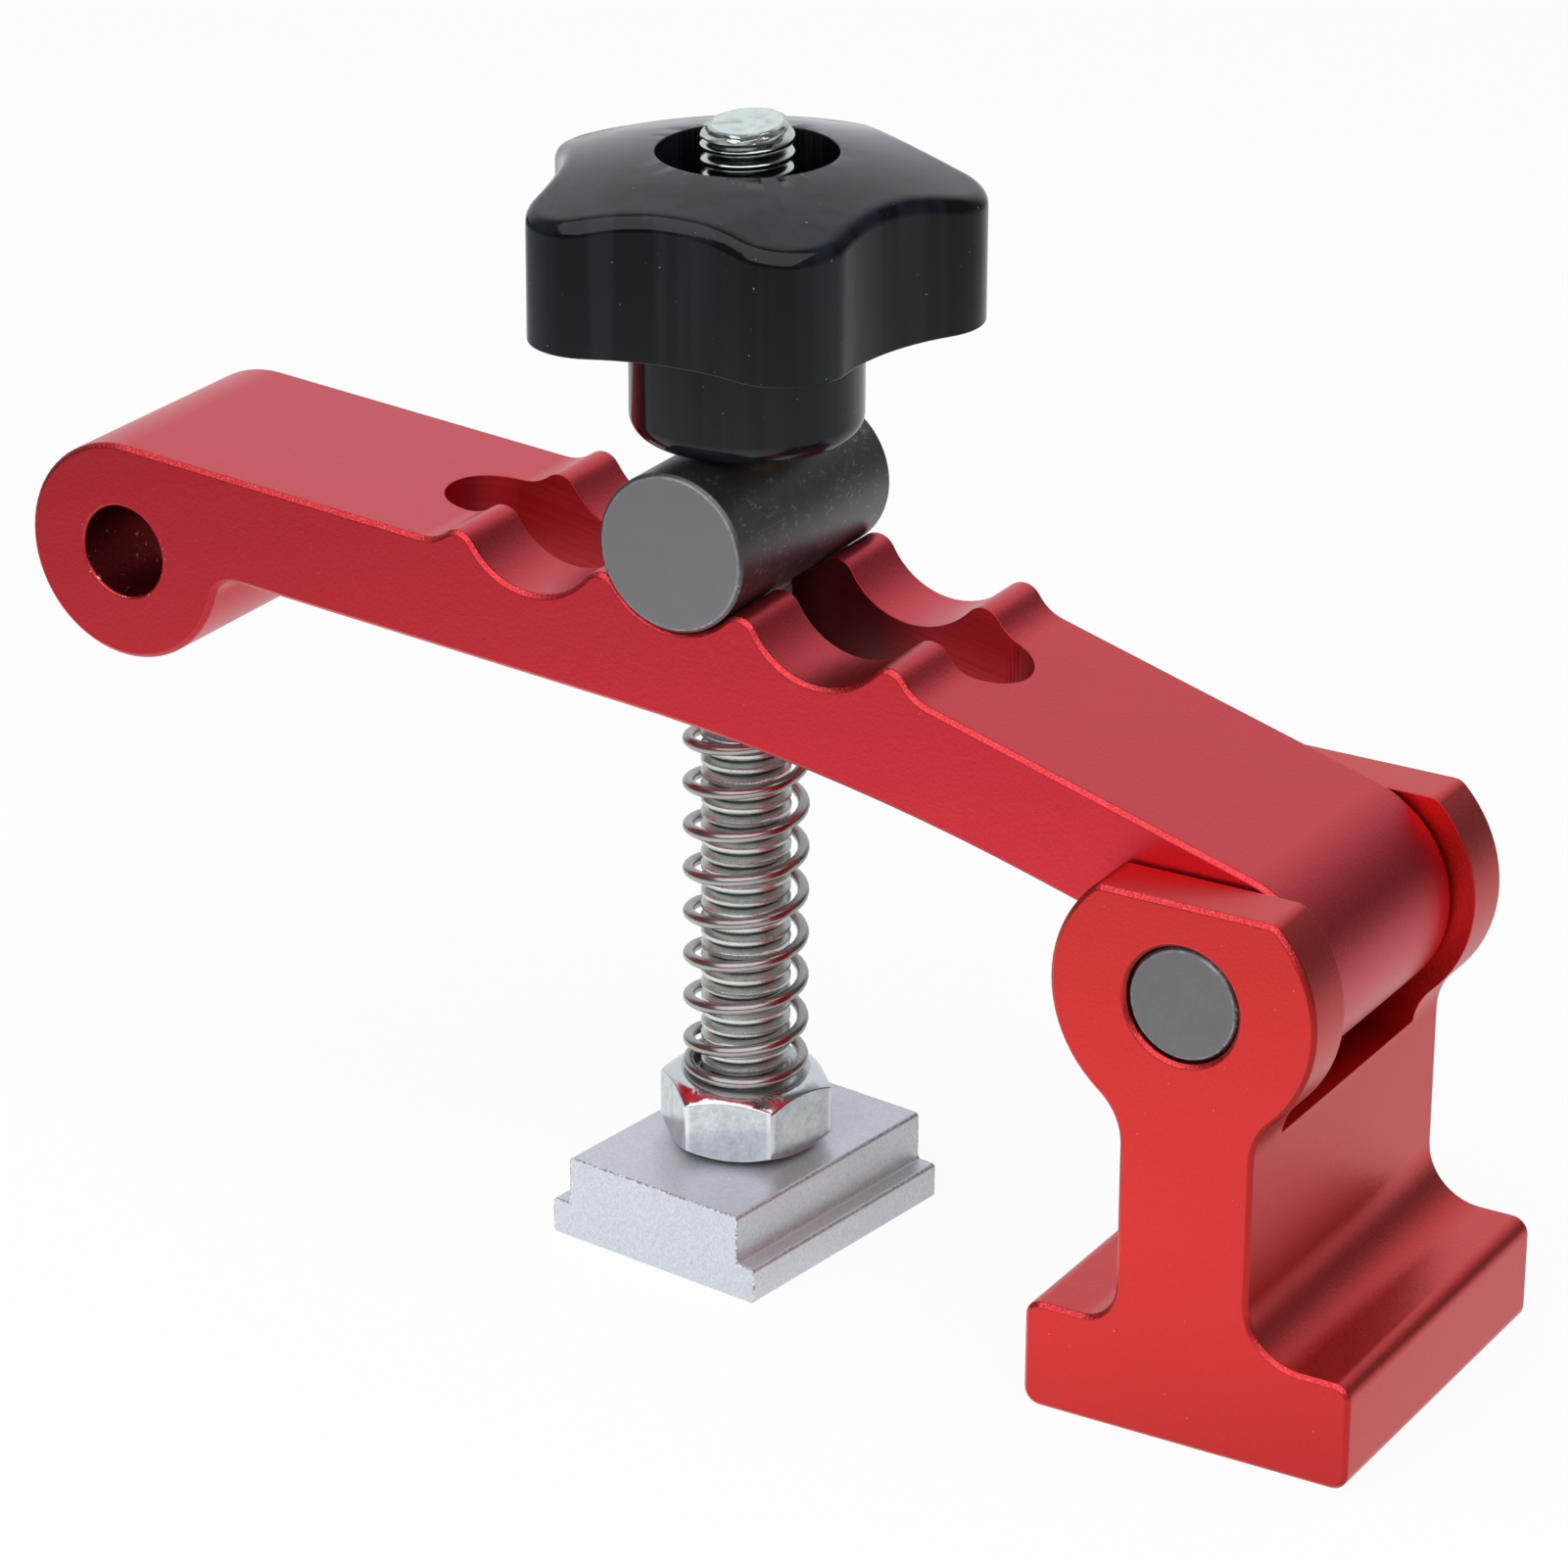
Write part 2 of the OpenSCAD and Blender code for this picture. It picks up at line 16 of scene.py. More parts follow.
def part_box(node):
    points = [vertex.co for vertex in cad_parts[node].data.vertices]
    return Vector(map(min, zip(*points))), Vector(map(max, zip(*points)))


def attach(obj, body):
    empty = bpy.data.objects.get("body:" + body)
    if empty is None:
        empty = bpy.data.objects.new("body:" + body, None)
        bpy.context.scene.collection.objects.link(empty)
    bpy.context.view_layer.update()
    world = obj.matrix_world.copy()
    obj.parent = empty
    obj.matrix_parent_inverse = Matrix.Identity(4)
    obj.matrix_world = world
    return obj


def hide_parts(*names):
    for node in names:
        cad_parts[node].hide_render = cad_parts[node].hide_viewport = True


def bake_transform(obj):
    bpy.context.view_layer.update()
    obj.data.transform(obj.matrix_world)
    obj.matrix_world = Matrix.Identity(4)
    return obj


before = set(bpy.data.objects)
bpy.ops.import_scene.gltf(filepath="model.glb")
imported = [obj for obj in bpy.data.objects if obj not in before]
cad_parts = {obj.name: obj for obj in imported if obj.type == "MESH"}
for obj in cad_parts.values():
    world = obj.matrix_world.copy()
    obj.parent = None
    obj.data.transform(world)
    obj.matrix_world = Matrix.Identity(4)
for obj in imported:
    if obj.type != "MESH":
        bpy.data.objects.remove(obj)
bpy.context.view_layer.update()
MM = 0.001

# %% [markdown]
# ## The camera
#
# A photograph of a small object is taken from a short way off with a long lens. The bearing
# and the height of this camera were found by matching straight edges and round holes of the
# clamp, so its place is written as angles and one point, and a tiny roll levels the picture.

# %% Set up the camera
SENSOR_MM, LENS_MM = 36, 136.5
CAMERA_MM = Vector((244.28, -406.21, 242.29))
bearing, height, roll = (math.radians(a) for a in (30.626, 22.945, 0.253))
backward = Vector((math.sin(bearing) * math.cos(height),
                   -math.cos(bearing) * math.cos(height), math.sin(height)))
level = Vector((math.cos(bearing), math.sin(bearing), 0))
rightward = level * math.cos(roll) + backward.cross(level) * math.sin(roll)
upward = backward.cross(rightward)

camera_data = bpy.data.cameras.new("portrait_lens")
camera_data.sensor_width = SENSOR_MM
camera_data.lens = LENS_MM
camera_data.clip_start, camera_data.clip_end = 0.05, 20
camera = bpy.data.objects.new("portrait_camera", camera_data)
turn = Matrix((rightward, upward, backward)).transposed()
camera.matrix_world = Matrix.Translation(CAMERA_MM * MM) @ turn.to_4x4()
bpy.context.scene.collection.objects.link(camera)
bpy.context.scene.camera = camera
bpy.context.scene.view_settings.view_transform = "Standard"
print("camera at", [round(v, 3) for v in camera.location])

# %% [markdown]
# ## Shader maths as plain Python
#
# A finish is worked out from a few values that change over the surface, such as a grain or
# the distance from an edge. Wiring Math nodes by hand hides the sum that they make. One
# small class wraps a node's output, and Python's own operators add the nodes, so a mask
# reads as a line of arithmetic. Every other node comes from one method, node().

# %% A value on a surface, and the finish that it belongs to
class Field:
    """One output of a node. Arithmetic on it adds Math nodes to the same finish."""

    def __init__(self, finish, socket):
        self.finish, self.socket = finish, socket

    def math(self, operation, *values):
        return self.finish.node("Math", {"operation": operation}, dict(enumerate(values)))

    def __add__(self, other):
        return self.math("ADD", self, other)

    def __sub__(self, other):
        return self.math("SUBTRACT", self, other)

    def __rsub__(self, other):
        return self.math("SUBTRACT", other, self)

    def __mul__(self, other):
        return self.math("MULTIPLY", self, other)

    def __truediv__(self, other):
        return self.math("DIVIDE", self, other)

    def __rtruediv__(self, other):
        return self.math("DIVIDE", other, self)

    def __pow__(self, other):
        return self.math("POWER", self, other)

    def __abs__(self):
        return self.math("ABSOLUTE", self)

    __radd__, __rmul__ = __add__, __mul__

    def most(self, other):
        return self.math("MAXIMUM", self, other)

    def rise(self, low, high):
        """0 below low, 1 above high, and a smooth step between them."""
        return self.finish.node("MapRange", {"interpolation_type": "SMOOTHSTEP"},
                                {"Value": self, "From Min": low, "From Max": high})


class Finish:
    """A material on its way: a Principled shader and the fields that feed it."""

    def __init__(self, name, fixed):
        self.material = bpy.data.materials.new(name)
        self.material.use_nodes = True
        self.tree = self.material.node_tree
        self.shader = self.tree.nodes["Principled BSDF"]
        for socket, value in fixed.items():
            self.shader.inputs[socket].default_value = value
        place = self.node("TexCoord", output="Object")
        self.place = self.node("VectorMath", {"operation": "SCALE"}, {0: place, "Scale": 1 / MM})
        self.x, self.y, self.z = (
            self.node("SeparateXYZ", {}, {"Vector": self.place}, axis) for axis in "XYZ")
        facing = self.node("TexCoord", output="Normal")
        self.up = self.node("SeparateXYZ", {}, {"Vector": facing}, "Z")

    def node(self, kind, settings=(), inputs=(), output=0):
        made = self.tree.nodes.new("ShaderNode" + kind)
        for name, value in dict(settings).items():
            setattr(made, name, value)
        for key, value in dict(inputs).items():
            if isinstance(value, Field):
                self.tree.links.new(value.socket, made.inputs[key])
            else:
                made.inputs[key].default_value = value
        return Field(self, made.outputs[output])

    def grain(self, size, detail=2.0, roughness=0.5, place=None, w=0.0):
        """Smooth noise from 0 to 1 whose lumps are about size millimetres across."""
        return self.node("TexNoise", {"noise_dimensions": "4D"},
                         {"Vector": place or self.place, "W": w, "Scale": 1 / size,
                          "Detail": detail, "Roughness": roughness})

    def stretched(self, x, y, z):
        """The place on the object with each axis stretched, for grain that runs one way."""
        return self.node("VectorMath", {"operation": "MULTIPLY"},
                         {0: self.place, 1: (1 / x, 1 / y, 1 / z)})

    def blend(self, share, one, other):
        """A colour that goes from one to the other as share goes from 0 to 1."""
        return self.node("Mix", {"data_type": "RGBA"}, {0: share, 6: one, 7: other}, 2)

    def bump(self, height, depth, strength=1.0):
        """Tilts the light on the surface as relief of that depth in millimetres would."""
        normal = self.node("Bump", {}, {"Height": height, "Distance": depth * MM,
                                        "Strength": strength})
        self.feed({"Normal": normal})

    def feed(self, inputs):
        for socket, field in inputs.items():
            self.tree.links.new(field.socket, self.shader.inputs[socket])


def rgb(red, green, blue):
    """A colour as a screen shows it, 0 to 255, in the light values that Blender mixes."""
    shares = [c / 255 for c in (red, green, blue)]
    linear = [s / 12.92 if s <= 0.04045 else ((s + 0.055) / 1.055) ** 2.4 for s in shares]
    return (*linear, 1.0)


# %% [markdown]
# ## Floor, background and lights
#
# The clamp was photographed on white paper. The camera sees the world as pure white, and the
# paper too but for a twentieth of its lit shade, which keeps the clamp's shadow. Metal is a
# mirror of its surroundings, so these are graded for mirror rays: the paper is brightest in
# front of the clamp, a wide sheet glows behind it to the left, and the room on the other side
# is dim. That grading draws every edge and hollow.

# %% White paper
WHITE = (1, 1, 1, 1)


def rays(finish, *names):
    """1 for rays of the named kinds, which the Light Path node tells apart, else 0."""
    path = finish.node("LightPath").socket.node
    kinds = [Field(finish, path.outputs[name]) for name in names]
    seen = kinds[0]
    for kind in kinds[1:]:
        seen = seen.most(kind)
    return seen


paper = Finish("white_paper", {"Base Color": (0.82, 0.82, 0.82, 1), "Roughness": 0.9,
                               "Specular IOR Level": 0.1})
# brightness of the paper that metal mirrors: a hot spot in front, half light behind that falls
# off to the right, and far behind bright on the left and dim on the right
HOT, SPOT_MM, HALF, HALF_DIP = 1.3, 200, 0.77, 0.17
px, py = (paper.node("SeparateXYZ", {}, {"Vector": paper.place}, axis) for axis in "XY")
reach = paper.node("VectorMath", {"operation": "LENGTH"}, {0: paper.place}, "Value")
spot = HOT / (1 + (reach / SPOT_MM) ** 2)
far = reach.rise(130, 500)
half_light = HALF - px.rise(60, 130) * HALF_DIP
cove = (px.rise(250, -150) * 0.6 + 0.28) * far + half_light * (1 - far)
behind = (px * 0.51 + py * 0.86).rise(-45, 25)
mirrored_light = spot * (1 - behind) + cove * behind

seen = rays(paper, "Is Camera Ray", "Is Transmission Ray")
mirrored = rays(paper, "Is Glossy Ray")
glow = paper.node("Emission", {}, {"Color": WHITE, "Strength": 1.0})
COOL_PAPER = (0.95, 0.99, 1.0)
mirror_tint = paper.node("VectorMath", {"operation": "SCALE"},
                         {0: COOL_PAPER, "Scale": mirrored_light})
mirror_glow = paper.node("Emission", {}, {"Color": mirror_tint, "Strength": 1.0})
lit = Field(paper, paper.shader.outputs[0])
solid_mix = paper.node("MixShader", {}, {0: mirrored, 1: lit, 2: mirror_glow})
SHOWN_WHITE = 0.95
paper_mix = paper.node("MixShader", {}, {0: seen * SHOWN_WHITE, 1: solid_mix, 2: glow})
paper.tree.links.new(paper_mix.socket, paper.tree.nodes["Material Output"].inputs["Surface"])

floor_mesh = bpy.data.meshes.new("paper_floor")
HALF_M = 3.0
floor_corners = [(x * HALF_M, y * HALF_M, 0) for x, y in ((-1, -1), (1, -1), (1, 1), (-1, 1))]
floor_mesh.from_pydata(floor_corners, [], [(0, 1, 2, 3)])
floor_mesh.materials.append(paper.material)
floor = bpy.data.objects.new("paper_floor", floor_mesh)
floor.location = Vector((20, -10, -0.02)) * MM
bpy.context.scene.collection.objects.link(floor)

# %% Sky and lamp
world = bpy.data.worlds.new("light_tent")
world.use_nodes = True
bpy.context.scene.world = world


class Sky(Finish):
    """The world's nodes, built with the same helpers as a finish."""

    def __init__(self, tree):
        self.tree = tree


SKY_LIGHT, SHEET, ROOM = 0.42, 0.85, 0.12
sky = Sky(world.node_tree)
direction = sky.node("TexCoord", output="Generated")
toward_sheet = sky.node("VectorMath", {"operation": "DOT_PRODUCT"},
                        {0: direction, 1: Vector((-0.45, 0.78, 0.32)).normalized()}, "Value")
sheet = toward_sheet.rise(0.50, 0.90) * (SHEET - ROOM) + ROOM
seen = rays(sky, "Is Camera Ray", "Is Transmission Ray")
mirrored = rays(sky, "Is Glossy Ray") * (1 - seen)
sky_strength = seen + mirrored * sheet + (1 - seen) * (1 - mirrored) * SKY_LIGHT
tint = sky.blend(mirrored, WHITE, (0.88, 0.94, 1.0, 1))
sky_colour = sky.node("VectorMath", {"operation": "SCALE"}, {0: tint, "Scale": sky_strength})
backdrop = world.node_tree.nodes["Background"]
backdrop.inputs["Strength"].default_value = 1.0
world.node_tree.links.new(sky_colour.socket, backdrop.inputs["Color"])


LAMP_TINT = (0.92, 0.97, 1.0)


def soft_box(name, place, size, power, target=(0, 0, 50)):
    """A square area light at a place in millimetres that faces the clamp."""
    light = bpy.data.lights.new(name, "AREA")
    light.shape, light.size, light.energy = "SQUARE", size * MM, power
    light.color = LAMP_TINT
    lamp = bpy.data.objects.new(name, light)
    lamp.location = Vector(place) * MM
    facing = (Vector(target) - Vector(place)).to_track_quat("-Z", "Y")
    lamp.rotation_mode, lamp.rotation_quaternion = "QUATERNION", facing
    bpy.context.scene.collection.objects.link(lamp)


soft_box("key_box", (60, -330, 500), 1000, 4.4)

# %% [markdown]
# ## Red anodised aluminium
#
# The arm and the foot are cut from bar, blasted with fine glass beads, dyed red and sealed.
# Under the clear oxide it is still metal, so the colour tints what it mirrors, and hollows
# that face each other turn dark. The oxide is a coat of its own that adds a pale sheen
# where light grazes. The chamfers are found by how far they lie from the middle plane.
# Chamfers that face up get a painted highlight and those that face down a painted shade,
# and shade is painted into the slot walls, most beside the stud, and into the bore.

# %% Mix the red finish
BARREL_SHADE_X = 6  # middle of the stretch of slot, beside the stud, where shade under the barrel is painted on the walls


def red_anodised(name, half_width, chamfer, shades, slot=None, bore=None):
    """slot is (middle X, half length, half width), bore is (X, Z, radius), in millimetres."""
    finish = Finish(name, {"Metallic": 1.0, "Coat Weight": 0.55, "Coat Roughness": 0.36})
    cloud = finish.grain(7, 3)
    fine = finish.grain(0.32, 3, 0.65).rise(0.15, 0.85)
    speck = finish.grain(0.4, 1, 0.5, w=4).rise(0.77, 0.80)
    sparkle = finish.grain(0.22, 2, 0.7, w=9).rise(0.40, 0.62)
    across = abs(finish.y)
    corner = across.rise(half_width - chamfer - 0.03, half_width - chamfer + 0.03) \
        * (1 - across.rise(half_width - 0.05, half_width - 0.01))
    # painted highlight on the chamfers that face up, painted shade on those that face down
    lit_chamfer, under = corner * finish.up.rise(0.2, 0.55), corner * finish.up.rise(0.1, -0.3)
    body = finish.blend(cloud * 0.4 + fine * 0.6, *shades)
    bright = finish.blend(sparkle, rgb(214, 32, 40), rgb(244, 68, 74))
    colour = finish.blend(lit_chamfer, body, bright)
    # painted shade: the chamfers that face down are darkened
    colour = finish.blend(under * 0.6, colour, rgb(140, 14, 22))
    colour = finish.blend(speck * 0.3, colour, rgb(250, 200, 200))
    relief, rough = fine + sparkle * lit_chamfer, 0.34 + fine * 0.10 - lit_chamfer * 0.08
    if slot:
        lines = finish.node("VectorMath", {"operation": "DOT_PRODUCT"},
                            {0: finish.place, 1: (0.19, 0, 1)}, "Value")
        along = finish.node("CombineXYZ", {}, {"X": finish.x / 40, "Z": lines})
        cutter = finish.grain(0.45, 3, 0.7, place=along)
        middle, reach, half = slot
        wall = across.rise(half + 0.1, half + 0.04) * abs(finish.up).rise(0.2, 0.1) \
            * abs(finish.x - middle).rise(reach + 0.5, reach + 0.3)
        # painted shade on the slot walls beside the stud, where the barrel above shades them
        barrel_shade = wall * abs(finish.x - BARREL_SHADE_X).rise(11, 4)
        colour = finish.blend(wall * cutter.rise(0.42, 0.66) * 0.5, colour, rgb(244, 84, 80))
        # painted shade: all of the slot walls a little darker, then darker still beside the stud
        colour = finish.blend(wall * 0.35, colour, rgb(130, 12, 18))
        colour = finish.blend(barrel_shade * 0.8, colour, rgb(70, 8, 11))
        relief, rough = relief * (1 - wall) + wall * cutter * 2, rough + wall * 0.14
    if bore:
        off_bore = ((finish.x - bore[0]) ** 2 + (finish.z - bore[1]) ** 2) ** 0.5
        shaded_bore, lip = off_bore.rise(bore[2] + 0.05, bore[2]), off_bore.rise(bore[2] + 0.5, bore[2] + 0.3)
        # painted shade: the inside of the bore is darkened
        colour = finish.blend(shaded_bore * 0.8, colour, rgb(120, 12, 18))
        torn = finish.grain(0.55, 2, 0.5, w=11).rise(0.66, 0.69) * lip
        colour = finish.blend(torn, colour, rgb(252, 244, 244))
    finish.feed({"Base Color": colour, "Roughness": rough})
    finish.bump(relief, 0.019, 0.9)
    return finish.material


arm_red = red_anodised("red_anodised_arm", 12.0, 0.4, (rgb(218, 34, 50), rgb(231, 43, 59)),
                       (-1.3, 28.1, 4.4), (-57.3, 55.7, 4.25))
foot_red = red_anodised("red_anodised_foot", 17.8, 0.4, (rgb(217, 38, 36), rgb(228, 46, 44)))

# %% [markdown]
# ## The other finishes
#
# Black-oxide steel is dark grey with a soft shine, and its turned ends are ground a little
# lighter with a bright rim. The knob is glossy phenolic plastic. Stud and nut are
# zinc-plated, the spring is bare wire, and the slider is blasted aluminium without dye.

# %% Black steel of the barrel and the pin
def black_steel(name, middle, radius, half_length, side, ends):
    """middle is the X and the height of the bar's axis, side and ends are a dark and a light shade."""
    finish = Finish(name, {"Metallic": 0.9})
    cloud = finish.grain(2.5, 4, 0.6)
    fine = finish.grain(0.15, 2, 0.6)
    away = ((finish.x - middle[0]) ** 2 + (finish.z - middle[1]) ** 2) ** 0.5
    end = abs(finish.y).rise(half_length - 0.12, half_length - 0.04)
    rim = away.rise(radius - 0.5, radius - 0.36) * (1 - away.rise(radius - 0.3, radius - 0.2)) \
        * abs(finish.y).rise(half_length - 0.3, half_length - 0.1)
    wear = finish.grain(0.8, 4, 0.7, w=5)
    streak = finish.grain(0.35, 6, 0.75, place=finish.stretched(1, 2, 1), w=3)
    scuff = streak.rise(0.53, 0.63) * cloud.rise(0.44, 0.58) * (1 - end)
    turned = finish.blend(cloud * 0.6 + fine * 0.4, side[0], side[1])
    ground = finish.blend(cloud * 0.6 + fine * 0.4, ends[0], ends[1])
    colour = finish.blend(end, turned, ground)
    colour = finish.blend(rim * wear.rise(0.35, 0.65) * 0.6, colour, rgb(196, 196, 198))
    colour = finish.blend(scuff * 0.7, colour, rgb(190, 186, 190))
    finish.feed({"Base Color": colour, "Roughness": 0.34 + cloud * 0.12 + end * 0.1})
    finish.bump(fine + scuff, 0.006, 0.5)
    return finish.material


barrel_black = black_steel("black_steel_barrel", (0, 66.9), 7, 12.5,
                           (rgb(96, 93, 95), rgb(124, 120, 122)),
                           (rgb(138, 136, 139), rgb(158, 155, 158)))
pin_black = black_steel("black_steel_pin", (51.4, 39.9), 5, 17.5,
                        (rgb(90, 90, 92), rgb(110, 110, 112)),
                        (rgb(106, 105, 107), rgb(146, 142, 144)))


# %% Black plastic of the knob
def black_plastic():
    finish = Finish("black_plastic", {"Metallic": 0.0, "IOR": 1.41})
    dust = finish.grain(0.32, 1, 0.5, w=2).rise(0.77, 0.80)
    film = finish.grain(7, 3, 0.6)
    # painted reflection: upright bands of lighter and darker resin stand in for dark things mirrored in
    # the sides
    reflection_bands = finish.grain(3.2, 2, 0.6, place=finish.stretched(1, 1, 30), w=6).rise(0.42, 0.60)
    resin_and_reflections = finish.blend(reflection_bands, rgb(8, 10, 14), rgb(22, 26, 34))
    finish.feed({"Base Color": finish.blend(dust * 0.6, resin_and_reflections, rgb(160, 160, 165)),
                 "Roughness": 0.08 + film * 0.06 + reflection_bands * 0.05 + dust * 0.3})
    finish.bump(finish.grain(4, 2), 0.012, 0.3)
    return finish.material


# %% Zinc, spring wire, silver aluminium and brass
def zinc_plate(name, polished, dull, shade_mask, clean, shades, rough, metal):
    """polished, dull and clean tell from x, y, z where the plating is changed, and the shade mask where
    shade is painted.
    """
    finish = Finish(name, {})
    cloud = finish.grain(1.1, 5, 0.7).rise(0.28, 0.72)
    fine = finish.grain(0.24, 4, 0.65)
    pit = finish.grain(0.5, 3, 0.6, w=7).rise(0.66, 0.76)
    shine, matt, fresh = polished(finish), dull(finish), clean(finish)
    tone = finish.blend(cloud * 0.4 + fine * 0.6, *shades)
    tone = finish.blend(pit * 0.5, tone, rgb(96, 94, 92))
    tone = finish.blend(shine * 0.8, tone, rgb(226, 227, 228))
    # painted shade in dark grey where the shade mask is set
    tone = finish.blend(shade_mask(finish), tone, rgb(46, 46, 43))
    sawn = finish.blend(fine * 0.7 + cloud * 0.3, rgb(196, 206, 202), rgb(246, 254, 251))
    finish.feed({"Base Color": finish.blend(matt, tone, sawn),
                 "Roughness": fine * 0.16 - shine * 0.10 + matt * 0.22 - fresh * 0.18 + rough,
                 "Metallic": (1 - matt * 0.5) * (fresh * (1 - metal) + metal)})
    finish.bump(cloud * 0.6 + fine - pit, 0.014, 0.6)
    return finish.material


STUD_TOP, END_R, END_SLOPE = 101.5, 3.05, (0.029, 0.0985)
END_DROP = 0.36
NUT_LOW, NUT_TOP, NUT_RING, NUT_SLOPE = 7.8, 14.6, 5.7, math.tan(math.radians(31))


def off_axis(finish):
    return (finish.x ** 2 + finish.y ** 2) ** 0.5


def nut_cones(finish):
    """1 on the two cones that turn the nut's corners off, and along its six corners."""
    fall = (off_axis(finish) - NUT_RING) * NUT_SLOPE
    upper = (finish.z + fall).rise(NUT_TOP - 0.14, NUT_TOP - 0.05)
    lower = (finish.z - fall).rise(NUT_LOW + 0.14, NUT_LOW + 0.05)
    cones = upper.most(lower) * off_axis(finish).rise(NUT_RING - 0.05, NUT_RING + 0.05)
    return cones.most(off_axis(finish).rise(7.5, 7.68))


def nut_faces(finish):
    """The nut's top face, a little lighter and duller, as the spring rubs it."""
    return finish.z.rise(NUT_TOP - 0.06, NUT_TOP - 0.02) * 0.25


def nut_foot_shade(finish):
    """Painted shade in the corner where the nut stands on the slider, and a little under the spring."""
    film = finish.z.rise(NUT_TOP - 0.06, NUT_TOP - 0.02) * 0.1
    return film.most(finish.z.rise(NUT_LOW + 0.5, NUT_LOW) * 0.35)


def stud_crests(finish):
    """1 on the outermost part of the thread and on the rim of the sheared end."""
    return off_axis(finish).rise(3.72, 3.92) * 0.8


def nut_clean(finish):
    """The nut's top face again, for the smoothness of its plating."""
    return finish.z.rise(NUT_TOP - 0.1, NUT_TOP) * 0.2


def stud_clean(finish):
    """1 above the knob's bush, where the thread was never rubbed by the arm or the spring."""
    return finish.z.rise(86, 91)


def stud_groove_shade(finish):
    """1 at the bottom of the groove, where shade is painted dark, but not at the bright end."""
    return off_axis(finish).rise(3.42, 3.30) * finish.z.rise(100.0, 99.2) * 0.85


def stud_end(finish):
    """1 on the end of the stud that was sheared to length."""
    plane = finish.x * END_SLOPE[0] + finish.y * END_SLOPE[1] + (STUD_TOP - END_DROP)
    return (finish.z - plane).rise(-0.12, -0.04) * off_axis(finish).rise(END_R, END_R - 0.12)


def spring_wire():
    finish = Finish("spring_wire", {"Metallic": 1.0})
    cloud = finish.grain(2.2, 3, 0.5)
    finish.feed({"Base Color": finish.blend(cloud, rgb(150, 141, 138), rgb(190, 182, 178)),
                 "Roughness": 0.2 + cloud * 0.08})
    return finish.material


SLIDER_TURN = math.radians(-7.2)


def silver_anodised():
    """Blasted aluminium. Blasting frays the sawn edges, so specks follow each of them."""
    finish = Finish("silver_anodised", {"Metallic": 0.75})
    cloud = finish.grain(6, 3)
    fine = finish.grain(0.24, 3, 0.65)
    glint = finish.grain(0.28, 2, 0.6, w=6)
    wide = abs(finish.x * math.cos(SLIDER_TURN) + finish.y * math.sin(SLIDER_TURN))
    long = abs(finish.y * math.cos(SLIDER_TURN) - finish.x * math.sin(SLIDER_TURN))
    top, shoulder, side, flank, end = (
        abs(value - place).rise(0.22, 0.10)
        for value, place in ((finish.z, 7.8), (finish.z, 3.3),
                             (wide, 9.4), (wide, 11.3), (long, 13.15)))
    upper, outer = finish.z.rise(3.0, 3.3), wide.rise(9.1, 9.4)
    edge = (top * side).most(top * end).most(side * end * upper).most(shoulder * flank) \
        .most(flank * end).most(shoulder * end * outer)
    dot = finish.grain(0.5, 1, 0.5, w=8).rise(0.79, 0.81)
    tone = finish.blend(cloud * 0.2 + fine.rise(0.15, 0.85) * 0.8,
                        rgb(190, 191, 198), rgb(239, 240, 246))
    # painted highlight: faces that look up are lightened
    tone = finish.blend(finish.up.rise(0.5, 0.9) * 0.3, tone, rgb(250, 250, 254))
    tone = finish.blend(dot * 0.7, tone, rgb(70, 68, 72))
    frayed = finish.blend(glint.rise(0.42, 0.58), rgb(120, 118, 124), rgb(250, 250, 253))
    finish.feed({"Base Color": finish.blend(edge * 0.7, tone, frayed),
                 "Roughness": 0.40 + fine * 0.1})
    finish.bump(fine + glint * edge, 0.026, 0.8)
    return finish.material


def brass():
    finish = Finish("brass", {"Metallic": 1.0})
    cloud = finish.grain(1.5, 3)
    finish.feed({"Base Color": finish.blend(cloud, rgb(170, 140, 84), rgb(196, 168, 110)),
                 "Roughness": 0.3 + cloud * 0.1})
    return finish.material


# %% [markdown]
# ## Dress the CAD nodes
#
# Arm, foot, pin, barrel, knob, nut and slider have their true shape already. A real edge is
# never perfectly sharp, so a Bevel modifier breaks each one, and weighted normals keep the
# flat faces flat. Modifiers leave the CAD mesh itself as it was.

# %% Soften edges and hand out finishes
def dress(node, finish, edge, limit=32):
    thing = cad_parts[node]
    mesh = thing.data
    mesh.materials.clear()
    mesh.materials.append(finish)
    if mesh.attributes.get("custom_normal"):
        mesh.attributes.remove(mesh.attributes["custom_normal"])
    mesh.shade_smooth()
    weld = thing.modifiers.new("join_corners", "WELD")
    weld.merge_threshold = 0.0005 * MM
    flat = thing.modifiers.new("merge_flats", "DECIMATE")
    flat.decimate_type, flat.angle_limit = "DISSOLVE", math.radians(0.3)
    bevel = thing.modifiers.new("break_edges", "BEVEL")
    bevel.width, bevel.segments = edge * MM, 2
    bevel.limit_method, bevel.angle_limit = "ANGLE", math.radians(limit)
    bevel.harden_normals = False
    even = thing.modifiers.new("even_shading", "WEIGHTED_NORMAL")
    even.keep_sharp = False
    print(f"{node}: {len(mesh.vertices)} points")


plastic, silver = black_plastic(), silver_anodised()
nut_zinc = zinc_plate("zinc_plate_nut", nut_cones, nut_faces, nut_foot_shade, nut_clean,
                      (rgb(146, 149, 154), rgb(230, 232, 234)), 0.12, 1.0)
stud_zinc = zinc_plate("zinc_plate_stud", stud_crests, stud_end, stud_groove_shade, stud_clean,
                       (rgb(172, 176, 170), rgb(232, 235, 228)), 0.26, 0.8)
for node, finish, edge in (
        ("arm", arm_red, 0.08), ("fork_foot", foot_red, 0.08),
        ("clevis_pin", pin_black, 0.08), ("barrel", barrel_black, 0.1),
        ("knob", plastic, 0.15), ("knob_insert", brass(), 0.05),
        ("lock_nut", nut_zinc, 0.12), ("t_slider", silver, 0.1)):
    dress(node, finish, edge)


